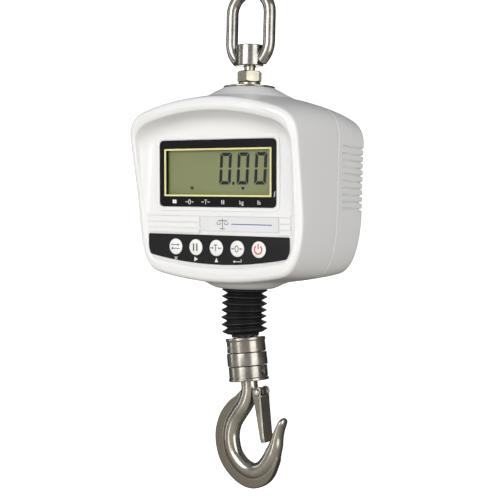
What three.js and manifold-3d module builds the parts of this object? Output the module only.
// A small crane scale: a forged swivel ring on top, a two-part white housing with a
// display and five keys, a load cell inside, and a swivelling safety hook below.
// Millimetres, +Z up. The origin is the point where the scale hangs: the inside of the
// ring's top bend. The display looks towards -Y, and the load line is the Z axis.

import * as THREE from "three";
import { mergeVertices } from "three/addons/utils/BufferGeometryUtils.js";
import Module from "manifold-3d";

const wasm = await Module();
wasm.setup();

// ---- driving dimensions ----------------------------------------------------------
// Heights below are measured from the top face of the lock nut (DATUM below the origin).
const DATUM = -60.5;
const GAP = 0.3; // clearance between pieces that touch
const SIDES = 20; // sides of a round piece

const RING = { wire: 5, halfWidth: 18.15, archZ: 47, bendZ: 24, bendRadius: 20 };
const COLLAR = { radius: 11.35, bottom: 4.5, top: 21.6, bore: 4.9, seat: 12, seatRadius: 8.2 };
const THREAD = 5.9; // outside radius of the M12 threads
const NUT = { flats: 18, height: 9 };

const CASE = {
  halfWidth: 79.7, // at the rim
  topZ: -25.6,
  bottomZ: -170,
  splitY: 19, // parting plane of the two shells
  backY: 78,
  backFillet: 12,
  wall: 2.8,
};
const BOSS = { baseRadius: 31.5, topZ: -13.7, bottomZ: -176, topRadius: 22, lowRadius: 23.5 };
const PANEL = { y: -43.35, z: -80, lean: THREE.MathUtils.degToRad(2.27) };
const WINDOW = { halfWidth: 55.85, top: 22.1, bottom: -30.75 };
const SCREEN = { halfWidth: 51.6, top: 15.45, bottom: -22.65 };
const KEYS = { radius: 6.35, z: -62.93, pitch: 20, firstX: -39.6 };
const KEY_NAMES = ["unit", "hold", "tare", "zero", "power"];

const PIVOT_Z = -203; // tilt pin of the hook
const LEAN = THREE.MathUtils.degToRad(7.3); // the hook hangs this far to +X
const BELLOWS = { outer: 18.8, valley: 14.7, inner: 13, folds: 7, top: -176, pitch: 5.15 };
const BARREL = { radius: 16.4, top: -13.3, upperSeam: -25.7, lowerSeam: -36.4, bottom: -48.7 };
const SCREW_TURN = { upper: -35, lower: 83 }; // where the grub screws sit, from the front
const SHANK = 6.8; // radius of the hook's round bar
const LATCH = { x: 11, z: -58.3, tipZ: -99, faceX: 14.1, halfWidth: 7, sheet: 1.2 };

// ---- solids ----------------------------------------------------------------------
/** A closed three.js geometry as a solid with its faces pointing out. */
function solid(geometry) {
  const g = geometry.index ? geometry : mergeVertices(geometry);
  g.deleteAttribute("normal");
  g.deleteAttribute("uv");
  const merged = mergeVertices(g, 1e-4);
  const points = Float32Array.from(merged.attributes.position.array);
  const triangles = [];
  const all = merged.index.array;
  for (let i = 0; i < all.length; i += 3) {
    const [a, b, c] = [all[i], all[i + 1], all[i + 2]];
    if (a !== b && b !== c && a !== c) triangles.push(a, b, c);
  }
  if (signedVolume(points, triangles) < 0) triangles.reverse();
  return new wasm.Manifold(
    new wasm.Mesh({ numProp: 3, vertProperties: points, triVerts: Uint32Array.from(triangles) }),
  );
}

function signedVolume(points, triangles) {
  const corner = (i) => new THREE.Vector3().fromArray(points, 3 * triangles[i]);
  let sum = 0;
  for (let i = 0; i < triangles.length; i += 3) {
    sum += corner(i).dot(corner(i + 1).cross(corner(i + 2)));
  }
  return sum;
}

function geometryOf(manifold) {
  const mesh = manifold.getMesh();
  const g = new THREE.BufferGeometry();
  g.setAttribute("position", new THREE.BufferAttribute(Float32Array.from(mesh.vertProperties), 3));
  g.setIndex(new THREE.BufferAttribute(Uint32Array.from(mesh.triVerts), 1));
  g.computeVertexNormals();
  return g;
}

const union = (...parts) => parts.reduce((all, part) => all.add(part));
const cut = (body, ...tools) => tools.reduce((left, tool) => left.subtract(tool), body);

/** A box from its lowest and highest corner. */
function box(lo, hi) {
  const size = hi.map((v, i) => v - lo[i]);
  const g = new THREE.BoxGeometry(...size);
  g.translate(...lo.map((v, i) => v + size[i] / 2));
  return solid(g);
}

/** A body of revolution about Z through (radius, z) points, closed on the axis or on itself. */
function turned(profile, sides = SIDES) {
  const points = profile.map(([r, z]) => new THREE.Vector2(r, z));
  const g = new THREE.LatheGeometry(points, sides);
  g.rotateX(Math.PI / 2);
  return solid(g);
}

const disc = (radius, low, high, sides = SIDES) =>
  turned([[0, low], [radius, low], [radius, high], [0, high]], sides);
const tube = (outer, inner, low, high, sides = SIDES) =>
  cut(disc(outer, low, high, sides), disc(inner, low - 1, high + 1, sides));

/** A round bar along Y from near to far, centred on (x, z). */
function barY(radius, near, far, x = 0, z = 0, sides = SIDES) {
  return disc(radius, near, far, sides).rotate([-90, 0, 0]).translate([x, 0, z]);
}

/** A flat outline in X and Z, made thick from y = near to y = far. */
function plate(shape, near, far, curveSegments = 6) {
  const g = new THREE.ExtrudeGeometry(shape, { depth: far - near, bevelEnabled: false, curveSegments });
  g.rotateX(Math.PI / 2);
  g.translate(0, far, 0);
  return solid(g);
}

function roundedRectangle(halfWidth, low, high, radius) {
  const s = new THREE.Shape();
  s.moveTo(-halfWidth + radius, low);
  s.lineTo(halfWidth - radius, low);
  s.quadraticCurveTo(halfWidth, low, halfWidth, low + radius);
  s.lineTo(halfWidth, high - radius);
  s.quadraticCurveTo(halfWidth, high, halfWidth - radius, high);
  s.lineTo(-halfWidth + radius, high);
  s.quadraticCurveTo(-halfWidth, high, -halfWidth, high - radius);
  s.lineTo(-halfWidth, low + radius);
  s.quadraticCurveTo(-halfWidth, low, -halfWidth + radius, low);
  return s;
}

/** A bar carried along a curve in the X-Z plane; section(t) gives its half sizes across and in Y. */
function sweep(curve, section, steps = 24, sides = 14) {
  const g = new THREE.CylinderGeometry(1, 1, 1, sides, steps);
  const p = g.attributes.position;
  for (let i = 0; i < p.count; i++) {
    const t = THREE.MathUtils.clamp(p.getY(i) + 0.5, 0, 1);
    const [across, deep] = section(t);
    const at = curve.getPoint(t);
    const along = curve.getTangent(t);
    const side = p.getX(i) * across;
    p.setXYZ(i, at.x - along.z * side, p.getZ(i) * deep, at.z + along.x * side);
  }
  return solid(g);
}

const pathXZ = (...points) =>
  new THREE.CatmullRomCurve3(points.map(([x, z]) => new THREE.Vector3(x, 0, z)), false, "centripetal");

/** A hexagon nut, its corners turned by `turn` degrees, with a chamfered top. */
function hexNut(flats, low, high, bore, turn = 0) {
  const corner = flats / Math.sqrt(3);
  const hex = disc(corner, low, high, 6).rotate([0, 0, turn]);
  const soft = turned([[0, low], [flats / 2 + 0.2, low], [corner, low + 0.9], [corner, high - 1.4],
    [flats / 2 - 0.3, high], [0, high]]);
  return cut(hex.intersect(soft), disc(bore, low - 1, high + 1));
}

// ---- materials -------------------------------------------------------------------
const MATERIALS = {
  housing: { color: 0xf1f1ef, roughness: 0.28, metalness: 0 },
  bright_metal: { color: 0xb9b4a8, roughness: 0.2, metalness: 1 },
  steel: { color: 0xa6a49c, roughness: 0.35, metalness: 1 },
  black_window: { color: 0x141518, roughness: 0.2, metalness: 0 },
  cream_frame: { color: 0xd8d6b4, roughness: 0.5, metalness: 0 },
  lcd: { color: 0x7f8562, roughness: 0.25, metalness: 0 },
  keypad: { color: 0x2c2d30, roughness: 0.45, metalness: 0 },
  key: { color: 0xf4f4f2, roughness: 0.4, metalness: 0 },
  rubber: { color: 0x1a1a1b, roughness: 0.7, metalness: 0 },
  board: { color: 0x1f5a38, roughness: 0.6, metalness: 0 },
  battery: { color: 0x2d3f7a, roughness: 0.5, metalness: 0 },
};

function piece(name, slot, body) {
  const { color, roughness, metalness } = MATERIALS[slot];
  const material = new THREE.MeshStandardMaterial({ color, roughness, metalness });
  const mesh = new THREE.Mesh(geometryOf(body), material);
  mesh.name = name;
  return mesh;
}

// ---- swivel ring and bolt --------------------------------------------------------
/** The ring's centre line: out of the collar, up one leg, over the arch and down again. */
function ringPath() {
  const { halfWidth: w, archZ, bendZ, bendRadius: r } = RING;
  const lower = [];
  for (const a of [50, 38, 25, 12]) {
    const angle = THREE.MathUtils.degToRad(a);
    lower.push([w - r * (1 - Math.cos(angle)), bendZ - r * Math.sin(angle)]);
  }
  const arch = [];
  for (let a = 0; a <= 180; a += 20) {
    const angle = THREE.MathUtils.degToRad(a);
    arch.push([w * Math.cos(angle), archZ + w * Math.sin(angle)]);
  }
  const right = [...lower, [w, bendZ], [w, (bendZ + archZ) / 2]];
  const left = right.map(([x, z]) => [-x, z]).reverse();
  return pathXZ(...right, ...arch, ...left);
}

function swivelRing() {
  const bar = sweep(ringPath(), () => [RING.wire, RING.wire], 44, 12);
  const { radius, bottom, top, bore, seat, seatRadius } = COLLAR;
  const collar = disc(radius, bottom, top);
  return cut(union(bar, collar), disc(bore, bottom - 1, seat + 1), disc(seatRadius, seat, top + 20));
}

function swivelBolt() {
  const head = COLLAR.seat + GAP;
  return turned([[0, -69], [THREAD, -69], [THREAD, -1], [COLLAR.bore - GAP, 0.5],
    [COLLAR.bore - GAP, head], [7.6, head], [7.6, head + 4.5], [6, head + 5.6], [0, head + 5.6]]);
}

// ---- housing ---------------------------------------------------------------------
/** Front outline: arched top, straight flanks, big lower corners, shallow bottom arc. */
function caseOutline() {
  const w = CASE.halfWidth;
  const s = new THREE.Shape();
  s.moveTo(62, -35.2);
  s.quadraticCurveTo(w, -41, w, -58);
  s.lineTo(w, -88);
  s.lineTo(w, -118);
  s.quadraticCurveTo(79, -160, 60, -164);
  s.quadraticCurveTo(0, -176, -60, -164);
  s.quadraticCurveTo(-79, -160, -w, -118);
  s.lineTo(-w, -88);
  s.lineTo(-w, -58);
  s.quadraticCurveTo(-w, -41, -62, -35.2);
  s.quadraticCurveTo(0, -16, 62, -35.2);
  return s;
}

const rimY = (z) => {
  const d = z + 122;
  return Math.max(-42 - 0.1075 * (d + Math.sqrt(d * d + 196)), -61);
};
const panelY = (z) => PANEL.y - Math.tan(PANEL.lean) * (z - PANEL.z);
const caseHalfWidth = (y) => CASE.halfWidth - 0.081 * (y + 51);
const caseTop = (y) => -18 - 0.00162 * (y - 10) ** 2;
const caseBottom = (y) => -172.5 + 0.0009 * (y - 10) ** 2;

/** The case outline carried from front to back; station(s, z) gives y and how far it is drawn in. */
function caseBlock(station, steps, curveSegments = 5) {
  const g = new THREE.ExtrudeGeometry(caseOutline(), { depth: 1, steps, bevelEnabled: false, curveSegments });
  const p = g.attributes.position;
  for (let i = 0; i < p.count; i++) {
    const [x, z, s] = [p.getX(i), p.getY(i), p.getZ(i)];
    const { y, inset } = station(s, z);
    const high = caseTop(y) - inset;
    const low = caseBottom(y) + inset;
    const up = (z - CASE.bottomZ) / (CASE.topZ - CASE.bottomZ);
    p.setXYZ(i, (x * (caseHalfWidth(y) - inset)) / CASE.halfWidth, y, low + up * (high - low));
  }
  return solid(g);
}

/** Front half: `inset` from the outer skin, its front face `inset` behind the rim. */
function frontBlock(inset, back) {
  const round = 3;
  const steps = 5;
  return caseBlock((s, z) => {
    const front = rimY(z) + inset;
    if (s < 0.5 / steps) return { y: front, inset: inset + round };
    const part = (s * steps - 1) / (steps - 1);
    return { y: front + round + part * (back - front - round), inset };
  }, steps);
}

/** Rear half from y = front to the back wall, with its round rear edge. */
function rearBlock(inset, front) {
  const straight = 0.4;
  const bend = CASE.backFillet - inset;
  const start = CASE.backY - CASE.backFillet;
  return caseBlock((s) => {
    if (s <= straight) return { y: front + (s / straight) * (start - front), inset };
    const angle = ((s - straight) / (1 - straight)) * (Math.PI / 2);
    return { y: start + bend * Math.sin(angle), inset: inset + bend * (1 - Math.cos(angle)) };
  }, 5);
}

/** The hollow in the front, down to the panel; `grow` widens and deepens it. */
function recessBlock(grow) {
  const s = new THREE.Shape();
  const w = 70.5 + grow;
  const top = -42.4 + grow;
  const low = -157.5 - grow;
  s.moveTo(50, top - 8);
  s.quadraticCurveTo(w, top - 13, w, top - 24);
  s.lineTo(w, -140);
  s.quadraticCurveTo(w, low + 6, 58, low + 5);
  s.quadraticCurveTo(0, low - 5, -58, low + 5);
  s.quadraticCurveTo(-w, low + 6, -w, -140);
  s.lineTo(-w, top - 24);
  s.quadraticCurveTo(-w, top - 13, -50, top - 8);
  s.quadraticCurveTo(0, top + 8, 50, top - 8);
  const reach = 32;
  const g = new THREE.ExtrudeGeometry(s, { depth: 1, steps: 3, bevelEnabled: false, curveSegments: 5 });
  const p = g.attributes.position;
  for (let i = 0; i < p.count; i++) {
    const [x, z, depth] = [p.getX(i), p.getY(i), p.getZ(i)];
    const out = reach * (1 - depth);
    const lift = Math.max(z + 100, 0) / 58;
    p.setXYZ(i, x * (1 + 0.0023 * out), panelY(z) + grow - out, z + 0.387 * out * lift);
  }
  return solid(g);
}

/** The round mounds that the bolt and the bellows come out of. */
function mounds() {
  const { baseRadius: r, topZ, bottomZ, topRadius, lowRadius } = BOSS;
  return [
    turned([[0, -40], [r, -40], [r, -19.5], [topRadius, topZ], [0, topZ]], 28),
    turned([[0, bottomZ], [lowRadius, bottomZ], [r, -171.5], [r, -155], [0, -155]], 28),
  ];
}

const SCREW_SPOTS = [[-56, -52], [56, -52], [-56, -146], [56, -146]];

function openBelow() {
  return union(disc(10.3, -60, 0), disc(17.2, -185, -150), disc(21.6, -172.9, -150));
}

function frontHousing() {
  const { splitY, wall } = CASE;
  const front = splitY - GAP / 2;
  const keepFront = box([-120, -100, -200], [120, front, 0]);
  const [high, low] = mounds();
  let shell = union(frontBlock(0, front), high.intersect(keepFront), low.intersect(keepFront));
  const hollow = frontBlock(wall, splitY + 5);
  shell = cut(shell, cut(hollow, recessBlock(wall)), recessBlock(0), openBelow());
  for (const [x, z] of SCREW_SPOTS) {
    const post = barY(4.5, panelY(z) + 1, front - GAP, x, z);
    shell = cut(union(shell, post), barY(1.7, -25, splitY + 1, x, z, 12));
  }
  return cut(shell, ...panelHoles());
}

/** What is cut through the panel: the screen, the five keys. */
function panelHoles() {
  const { halfWidth, top, bottom } = SCREEN;
  const tools = [box([-halfWidth - 0.2, -5, bottom - 0.2], [halfWidth + 0.2, 6, top + 0.2])];
  KEY_NAMES.forEach((_, i) => {
    tools.push(barY(KEYS.radius + 0.25, -5, 6, KEYS.firstX + i * KEYS.pitch, KEYS.z));
  });
  return tools.map((tool) =>
    tool.rotate([THREE.MathUtils.radToDeg(PANEL.lean), 0, 0]).translate([0, PANEL.y, PANEL.z]));
}

const DOOR = { halfWidth: 38, low: -152, high: -104 };

function rearHousing() {
  const { splitY, backY, wall } = CASE;
  const front = splitY + GAP / 2;
  const keepRear = box([-120, front, -200], [120, 100, 0]);
  const [high, low] = mounds();
  let shell = union(rearBlock(0, front), high.intersect(keepRear), low.intersect(keepRear));
  shell = cut(shell, rearBlock(wall, splitY - 5), openBelow());
  for (const [x, z] of SCREW_SPOTS) {
    shell = union(shell, barY(5.5, front + GAP, backY - 1, x, z));
    shell = cut(shell, barY(4, 30, backY + 1, x, z), barY(2, 10, 40, x, z, 12));
  }
  const { halfWidth: w } = DOOR;
  const doorway = box([-w, backY - 8, DOOR.low], [w, backY + 1, DOOR.high]);
  return cut(shell, doorway, barY(5.8, 60, 90, 52, -118));
}

function gasket() {
  const y = CASE.splitY;
  const ring = (inset) => caseBlock((s) => ({ y: y - 0.6 + 1.2 * s, inset }), 1);
  return cut(ring(CASE.wall + GAP), caseBlock((s) => ({ y: y - 2 + 4 * s, inset: 5.4 }), 1),
    ...SCREW_SPOTS.map(([x, z]) => barY(6, 0, 40, x, z)), openBelow());
}

// ---- display, keypad and boards, on the leaning panel ------------------------------
function displayWindow() {
  const { halfWidth, top, bottom } = WINDOW;
  const sheet = plate(roundedRectangle(halfWidth, bottom, top, 3), -1.1, -GAP);
  const s = SCREEN;
  return cut(sheet, box([-s.halfWidth, -3, s.bottom], [s.halfWidth, 3, s.top]));
}

function lcdFrame() {
  const s = SCREEN;
  const edge = 2.6;
  const outer = box([-s.halfWidth + GAP, -0.8, s.bottom + GAP], [s.halfWidth - GAP, 3, s.top - GAP]);
  return cut(outer, box([-s.halfWidth + edge, -2, s.bottom + edge], [s.halfWidth - edge, 5, s.top - edge]));
}

function keypadPanel() {
  const s = new THREE.Shape();
  const w = 67.8;
  s.moveTo(-w, -52.9);
  s.lineTo(-w, -64);
  s.quadraticCurveTo(-w + 0.3, -69.5, -w + 7, -70.2);
  s.quadraticCurveTo(0, -81.5, w - 7, -70.2);
  s.quadraticCurveTo(w - 0.3, -69.5, w, -64);
  s.lineTo(w, -52.9);
  const holes = KEY_NAMES.map((_, i) =>
    barY(KEYS.radius + 0.25, -5, 5, KEYS.firstX + i * KEYS.pitch, KEYS.z));
  return cut(plate(s, -1.1, -GAP), ...holes);
}

function keyCap(i) {
  const r = KEYS.radius;
  return turned([[0, -2], [r - 0.6, -2], [r, -1.2], [r, 1.6], [0, 1.9]].map(([a, b]) => [a, -b]))
    .rotate([90, 0, 0]).mirror([0, 1, 0])
    .translate([KEYS.firstX + i * KEYS.pitch, 0, KEYS.z]);
}

function panelGroup() {
  const g = new THREE.Group();
  g.position.set(0, PANEL.y, PANEL.z);
  g.rotation.x = PANEL.lean;
  g.add(piece("display_window", "black_window", displayWindow()));
  g.add(piece("lcd_frame", "cream_frame", lcdFrame()));
  g.add(piece("lcd_glass", "lcd", box([-50.5, 3.3, -21.5], [50.5, 4.7, 14.3])));
  g.add(piece("lcd_backlight", "key", box([-48.5, 5, -20], [48.5, 7.8, 13])));
  g.add(piece("main_board", "board", box([-60, 9, -34], [60, 10.6, 21])));
  g.add(piece("name_plate", "housing", plate(roundedRectangle(36.7, -49.4, -38, 1), -0.9, -GAP)
    .translate([21.4, 0, 0])));
  g.add(piece("keypad_panel", "keypad", keypadPanel()));
  g.add(piece("key_board", "board", box([-50, 3.4, -70], [50, 5, -56])));
  KEY_NAMES.forEach((name, i) => g.add(piece(`${name}_key`, "key", keyCap(i))));
  return g;
}

// ---- load cell, battery, fasteners -------------------------------------------------
function loadCell() {
  const body = box([-25, -10, -133], [25, 10, -57]);
  const slots = [box([-16, -12, -84], [30, 12, -80]), box([-30, -12, -110], [16, 12, -106])];
  const window = box([-9, -12, -104], [9, 12, -86]);
  return cut(body, ...slots, window, disc(THREAD + GAP, -73, -50), disc(THREAD + GAP, -140, -118));
}

/** Lower stud with its fork: two cheeks hold the tilt pin. */
function lowerStud() {
  const rod = disc(THREAD, -192, -121.5);
  const fork = union(box([-6.5, -8, PIVOT_Z], [6.5, 8, -189]), barY(6.5, -8, 8, 0, PIVOT_Z));
  const slot = box([-9, -3.4, -215], [9, 3.4, -195.2]);
  return cut(union(rod, fork), slot, barY(2.8, -10, 10, 0, PIVOT_Z, 16));
}

function batteryDoor() {
  const { halfWidth: w, low, high } = DOOR;
  const y = CASE.backY;
  const lid = box([-w + GAP, y - 2.3, low + GAP], [w - GAP, y - 0.2, high - GAP]);
  return cut(lid, ...[-30, 30].map((x) => barY(1.9, y - 6, y + 2, x, -128, 12)));
}

function smallScrew(x, z, headY, length) {
  const head = barY(3, headY - 2, headY, x, z, 16);
  return union(head, barY(1.4, headY - length, headY - 1, x, z, 12));
}

// ---- bellows -----------------------------------------------------------------------
/** Seven folds about Z, bent smoothly from upright at the top to the hook's lean at the neck. */
function bellows() {
  const { outer, valley, inner, folds, top, pitch } = BELLOWS;
  const cuff = top + 9;
  const profile = [[inner, cuff], [21.2, cuff], [21.2, cuff - 3], [16.9, cuff - 3], [16.9, top - 0.4]];
  for (let i = 0; i < folds; i++) {
    const z = top - 1.2 - i * pitch;
    profile.push([valley, z], [outer, z - pitch / 2 - 0.4], [outer, z - pitch / 2 - 1]);
  }
  const end = top - 1.2 - folds * pitch;
  profile.push([11, end - 0.3], [10.8, PIVOT_Z + BARREL.top + GAP]);
  profile.push([9.2, PIVOT_Z + BARREL.top + GAP], [9.2, end - 0.6], [inner, end + 2], profile[0]);
  return turned(profile);
}

/** Turns every point below the tilt pin with the hook, and eases in above it. */
function bend(mesh) {
  const p = mesh.geometry.attributes.position;
  for (let i = 0; i < p.count; i++) {
    const z = p.getZ(i);
    const t = THREE.MathUtils.smoothstep(-z, 186, 214) * LEAN;
    const [x, dz] = [p.getX(i), z - PIVOT_Z];
    p.setX(i, x * Math.cos(t) - dz * Math.sin(t));
    p.setZ(i, PIVOT_Z + x * Math.sin(t) + dz * Math.cos(t));
  }
  mesh.geometry.computeVertexNormals();
  return mesh;
}

// ---- hook swivel, in the hook's own frame: z = 0 at the tilt pin -------------------
function swivelStem() {
  const tongue = union(box([-6, -3, -9], [6, 3, 0]), barY(6, -3, 3, 0, 0));
  const neck = union(disc(6, -20, -8.5), disc(9, -20, -17));
  return cut(union(tongue, neck), barY(2.8, -10, 10, 0, 0, 16));
}

function upperCap() {
  const { radius: r, top, upperSeam } = BARREL;
  const shell = turned([[0, upperSeam + GAP], [r - 0.5, upperSeam + GAP], [r - 0.5, top - 2.4],
    [r, top - 1.8], [r, top - 0.6], [r - 0.6, top], [0, top]], 28);
  return cut(shell, disc(6.3, -40, 0), disc(12, -40, top - 3.2), barY(1.9, -20, 0, 0, -21, 12).rotate([0, 0, SCREW_TURN.upper]));
}

function sleeve() {
  const { radius: r, upperSeam, lowerSeam } = BARREL;
  return tube(r, 12, lowerSeam + GAP / 2, upperSeam - GAP / 2 + 0.15, 28);
}

function lowerCap() {
  const { radius: r, lowerSeam, bottom } = BARREL;
  const shell = turned([[0, bottom], [r - 0.6, bottom], [r, bottom + 0.6], [r, bottom + 3],
    [r - 0.6, bottom + 3.6], [r - 0.6, lowerSeam - GAP], [0, lowerSeam - GAP]], 28);
  return cut(shell, disc(SHANK + 0.4, -60, -20), disc(12, bottom + 3.6, -20),
    barY(1.9, -20, 0, 0, -41, 12).rotate([0, 0, SCREW_TURN.lower]));
}

const grubScrew = (z) => barY(1.6, -15.6, -12.6, 0, z, 12);

function bearingRace(low, high, bore) {
  return tube(11.6, bore, low, high);
}

function ballCage() {
  let ring = tube(11, 7.4, -43, -42);
  for (let i = 0; i < 8; i++) {
    const ball = new THREE.SphereGeometry(1.5, 8, 6);
    const angle = (i / 8) * 2 * Math.PI;
    ball.translate(9.3 * Math.cos(angle), 9.3 * Math.sin(angle), -42.5);
    ring = ring.add(solid(ball));
  }
  return ring;
}

// ---- hook and latch ----------------------------------------------------------------
/** Round bar: down the shank, round the bowl and up to the tip. */
function hookBar() {
  const path = pathXZ([0, -32], [0, -46], [-0.4, -57], [-5, -67], [-12.5, -75.5], [-19, -84], [-22.1, -95],
    [-20.2, -108], [-12.5, -118], [-3, -122.2], [6, -120.3], [14, -113], [20, -103.5], [23, -94],
    [26, -87], [29.2, -82.8]);
  const section = (t) => {
    const tip = THREE.MathUtils.smoothstep(t, 0.82, 1);
    const end = Math.sqrt(Math.max(1 - THREE.MathUtils.smoothstep(t, 0.965, 1.02) ** 2, 0.05));
    return [(SHANK - 2.3 * tip) * end, (SHANK - 0.8 * tip) * end];
  };
  return sweep(path, section, 40, 14);
}

/** Flat outer flange round the back of the bowl. */
function hookFlange() {
  const s = new THREE.Shape();
  s.moveTo(-3, -62);
  s.splineThru([[-14.5, -62.3], [-24.4, -69], [-33, -80.5], [-36.9, -95], [-34.4, -110], [-26.2, -123],
    [-15.5, -132.8], [-3.5, -136.8], [7.5, -133.2], [15.5, -126], [20, -118]]
    .map(([x, z]) => new THREE.Vector2(x, z)));
  s.lineTo(14, -113);
  s.splineThru([[6, -120.3], [-3, -122.2], [-12.5, -118], [-20.2, -108], [-22.1, -95], [-19, -84],
    [-12.5, -75.5], [-3, -62]].map(([x, z]) => new THREE.Vector2(x, z)));
  return plate(s, -3.6, 3.6, 2);
}

function hook() {
  const lug = union(barY(3.7, -3, 3, LATCH.x, LATCH.z, 16), box([0, -3, LATCH.z - 3], [LATCH.x, 3, LATCH.z + 3.6]));
  const thread = disc(4.9, -46, -21.5);
  const body = union(hookBar(), hookFlange(), lug);
  const shank = cut(body, box([-20, -20, -40], [20, 20, 0]));
  return cut(union(shank, thread), barY(1.9, -20, 20, LATCH.x, LATCH.z, 12), barY(1.5, -20, 20, 0, -25, 12));
}

/** Channel of bent sheet: a web that closes the throat and two cheeks on the pin. */
function latch() {
  const { x, z, tipZ, faceX, halfWidth: w, sheet } = LATCH;
  const web = box([faceX - sheet, -w, tipZ], [faceX, w, -62.4]);
  const s = new THREE.Shape();
  s.moveTo(faceX, -57);
  s.lineTo(faceX, tipZ);
  s.lineTo(faceX - 3, tipZ);
  s.lineTo(x - 3.4, -66);
  s.lineTo(x - 4.4, z);
  s.absarc(x, z, 4.4, Math.PI, 0.6, true);
  const cheeks = cut(plate(s, -w, w, 5), box([-40, -w + sheet, -120], [40, w - sheet, -40]));
  return cut(union(web, cheeks), barY(1.9, -20, 20, x, z, 12));
}

function latchSpring() {
  const { x, z, faceX, sheet } = LATCH;
  const points = [];
  const turns = 1.75;
  for (let i = 0; i <= 20; i++) {
    const a = -Math.PI / 2 + (i / 20) * turns * 2 * Math.PI;
    points.push(new THREE.Vector3(x + 2.75 * Math.cos(a), 3.85 + (1.3 * i) / 20, z + 2.75 * Math.sin(a)));
  }
  const last = points[points.length - 1];
  points.push(new THREE.Vector3(last.x + 0.5, last.y, z - 6));
  points.push(new THREE.Vector3(faceX - sheet - 0.9, last.y, z - 16));
  const curve = new THREE.CatmullRomCurve3(points, false, "centripetal");
  const wire = new THREE.Shape().absarc(0, 0, 0.4, 0, 2 * Math.PI);
  return solid(new THREE.ExtrudeGeometry(wire, { extrudePath: curve, steps: 30, curveSegments: 3 }));
}

/** Everything that leans with the hook. */
function hookGroup() {
  const g = new THREE.Group();
  g.position.z = PIVOT_Z;
  g.rotation.y = -LEAN;
  const { x, z } = LATCH;
  g.add(piece("swivel_stem", "steel", swivelStem()));
  g.add(piece("swivel_cap_upper", "bright_metal", upperCap()));
  g.add(piece("swivel_sleeve", "bright_metal", sleeve()));
  g.add(piece("swivel_cap_lower", "bright_metal", lowerCap()));
  g.add(piece("grub_screw_upper", "steel", grubScrew(-21).rotate([0, 0, SCREW_TURN.upper])));
  g.add(piece("grub_screw_lower", "steel", grubScrew(-41).rotate([0, 0, SCREW_TURN.lower])));
  g.add(piece("bearing_race_lower", "steel", bearingRace(-44.8, -44.1, SHANK + 0.5)));
  g.add(piece("bearing_cage", "steel", ballCage()));
  g.add(piece("bearing_race_upper", "steel", bearingRace(-40.7, -39.2, SHANK + 0.5)));
  g.add(piece("shank_nut", "steel", hexNut(16, -38.9, -30, 5.3)));
  g.add(piece("shank_pin", "steel", barY(1.2, -8, 8, 0, -25, 12)));
  g.add(piece("hook", "bright_metal", hook()));
  g.add(piece("latch", "bright_metal", latch()));
  const rivet = union(barY(1.6, -8.2, 8.2, x, z, 16), barY(3, -8.6, -7.3, x, z, 16), barY(3, 7.3, 8.6, x, z, 16));
  g.add(piece("latch_pin", "steel", rivet));
  g.add(piece("latch_spring", "steel", latchSpring()));
  return g;
}

// ---- the whole scale ---------------------------------------------------------------
function craneScale() {
  const g = new THREE.Group();
  g.position.z = DATUM;
  g.add(piece("swivel_ring", "bright_metal", swivelRing()));
  g.add(piece("swivel_bolt", "steel", swivelBolt()));
  g.add(piece("lock_nut", "steel", hexNut(NUT.flats, 0.5 - NUT.height, 0.5, THREAD + GAP, -10.4)));
  g.add(piece("lock_washer", "steel", tube(9.1, THREAD + GAP, -11.7, -8.8)));
  g.add(piece("top_washer", "steel", tube(21.15, THREAD + GAP, -13.4, -12)));
  g.add(piece("top_seal", "rubber", tube(10, THREAD + GAP, -20.5, -13.7)));
  g.add(piece("clamp_nut", "steel", hexNut(NUT.flats, -31, -22, THREAD + GAP)));
  g.add(piece("front_housing", "housing", frontHousing()));
  g.add(piece("rear_housing", "housing", rearHousing()));
  g.add(piece("housing_gasket", "rubber", gasket()));
  g.add(panelGroup());
  g.add(piece("load_cell", "steel", loadCell()));
  g.add(piece("lower_stud", "steel", lowerStud()));
  g.add(piece("tilt_pin", "steel", barY(2.5, -7.8, 7.8, 0, PIVOT_Z, 16)));
  g.add(bend(piece("bellows", "rubber", bellows())));
  g.add(piece("battery_pack", "battery", box([-34, 42, -148], [34, 68, -108])));
  g.add(piece("battery_door", "housing", batteryDoor()));
  [-30, 30].forEach((x, i) => g.add(piece(`door_screw_${i + 1}`, "steel", smallScrew(x, -128, CASE.backY + 2.2, 6))));
  SCREW_SPOTS.forEach(([x, z], i) =>
    g.add(piece(`housing_screw_${i + 1}`, "steel", smallScrew(x, z, 32.4, 26))));
  g.add(piece("charge_socket", "keypad", cut(barY(5.4, 62, CASE.backY + 0.6, 52, -118), barY(3, 66, 90, 52, -118))));
  g.add(hookGroup());
  return g;
}

export default craneScale();
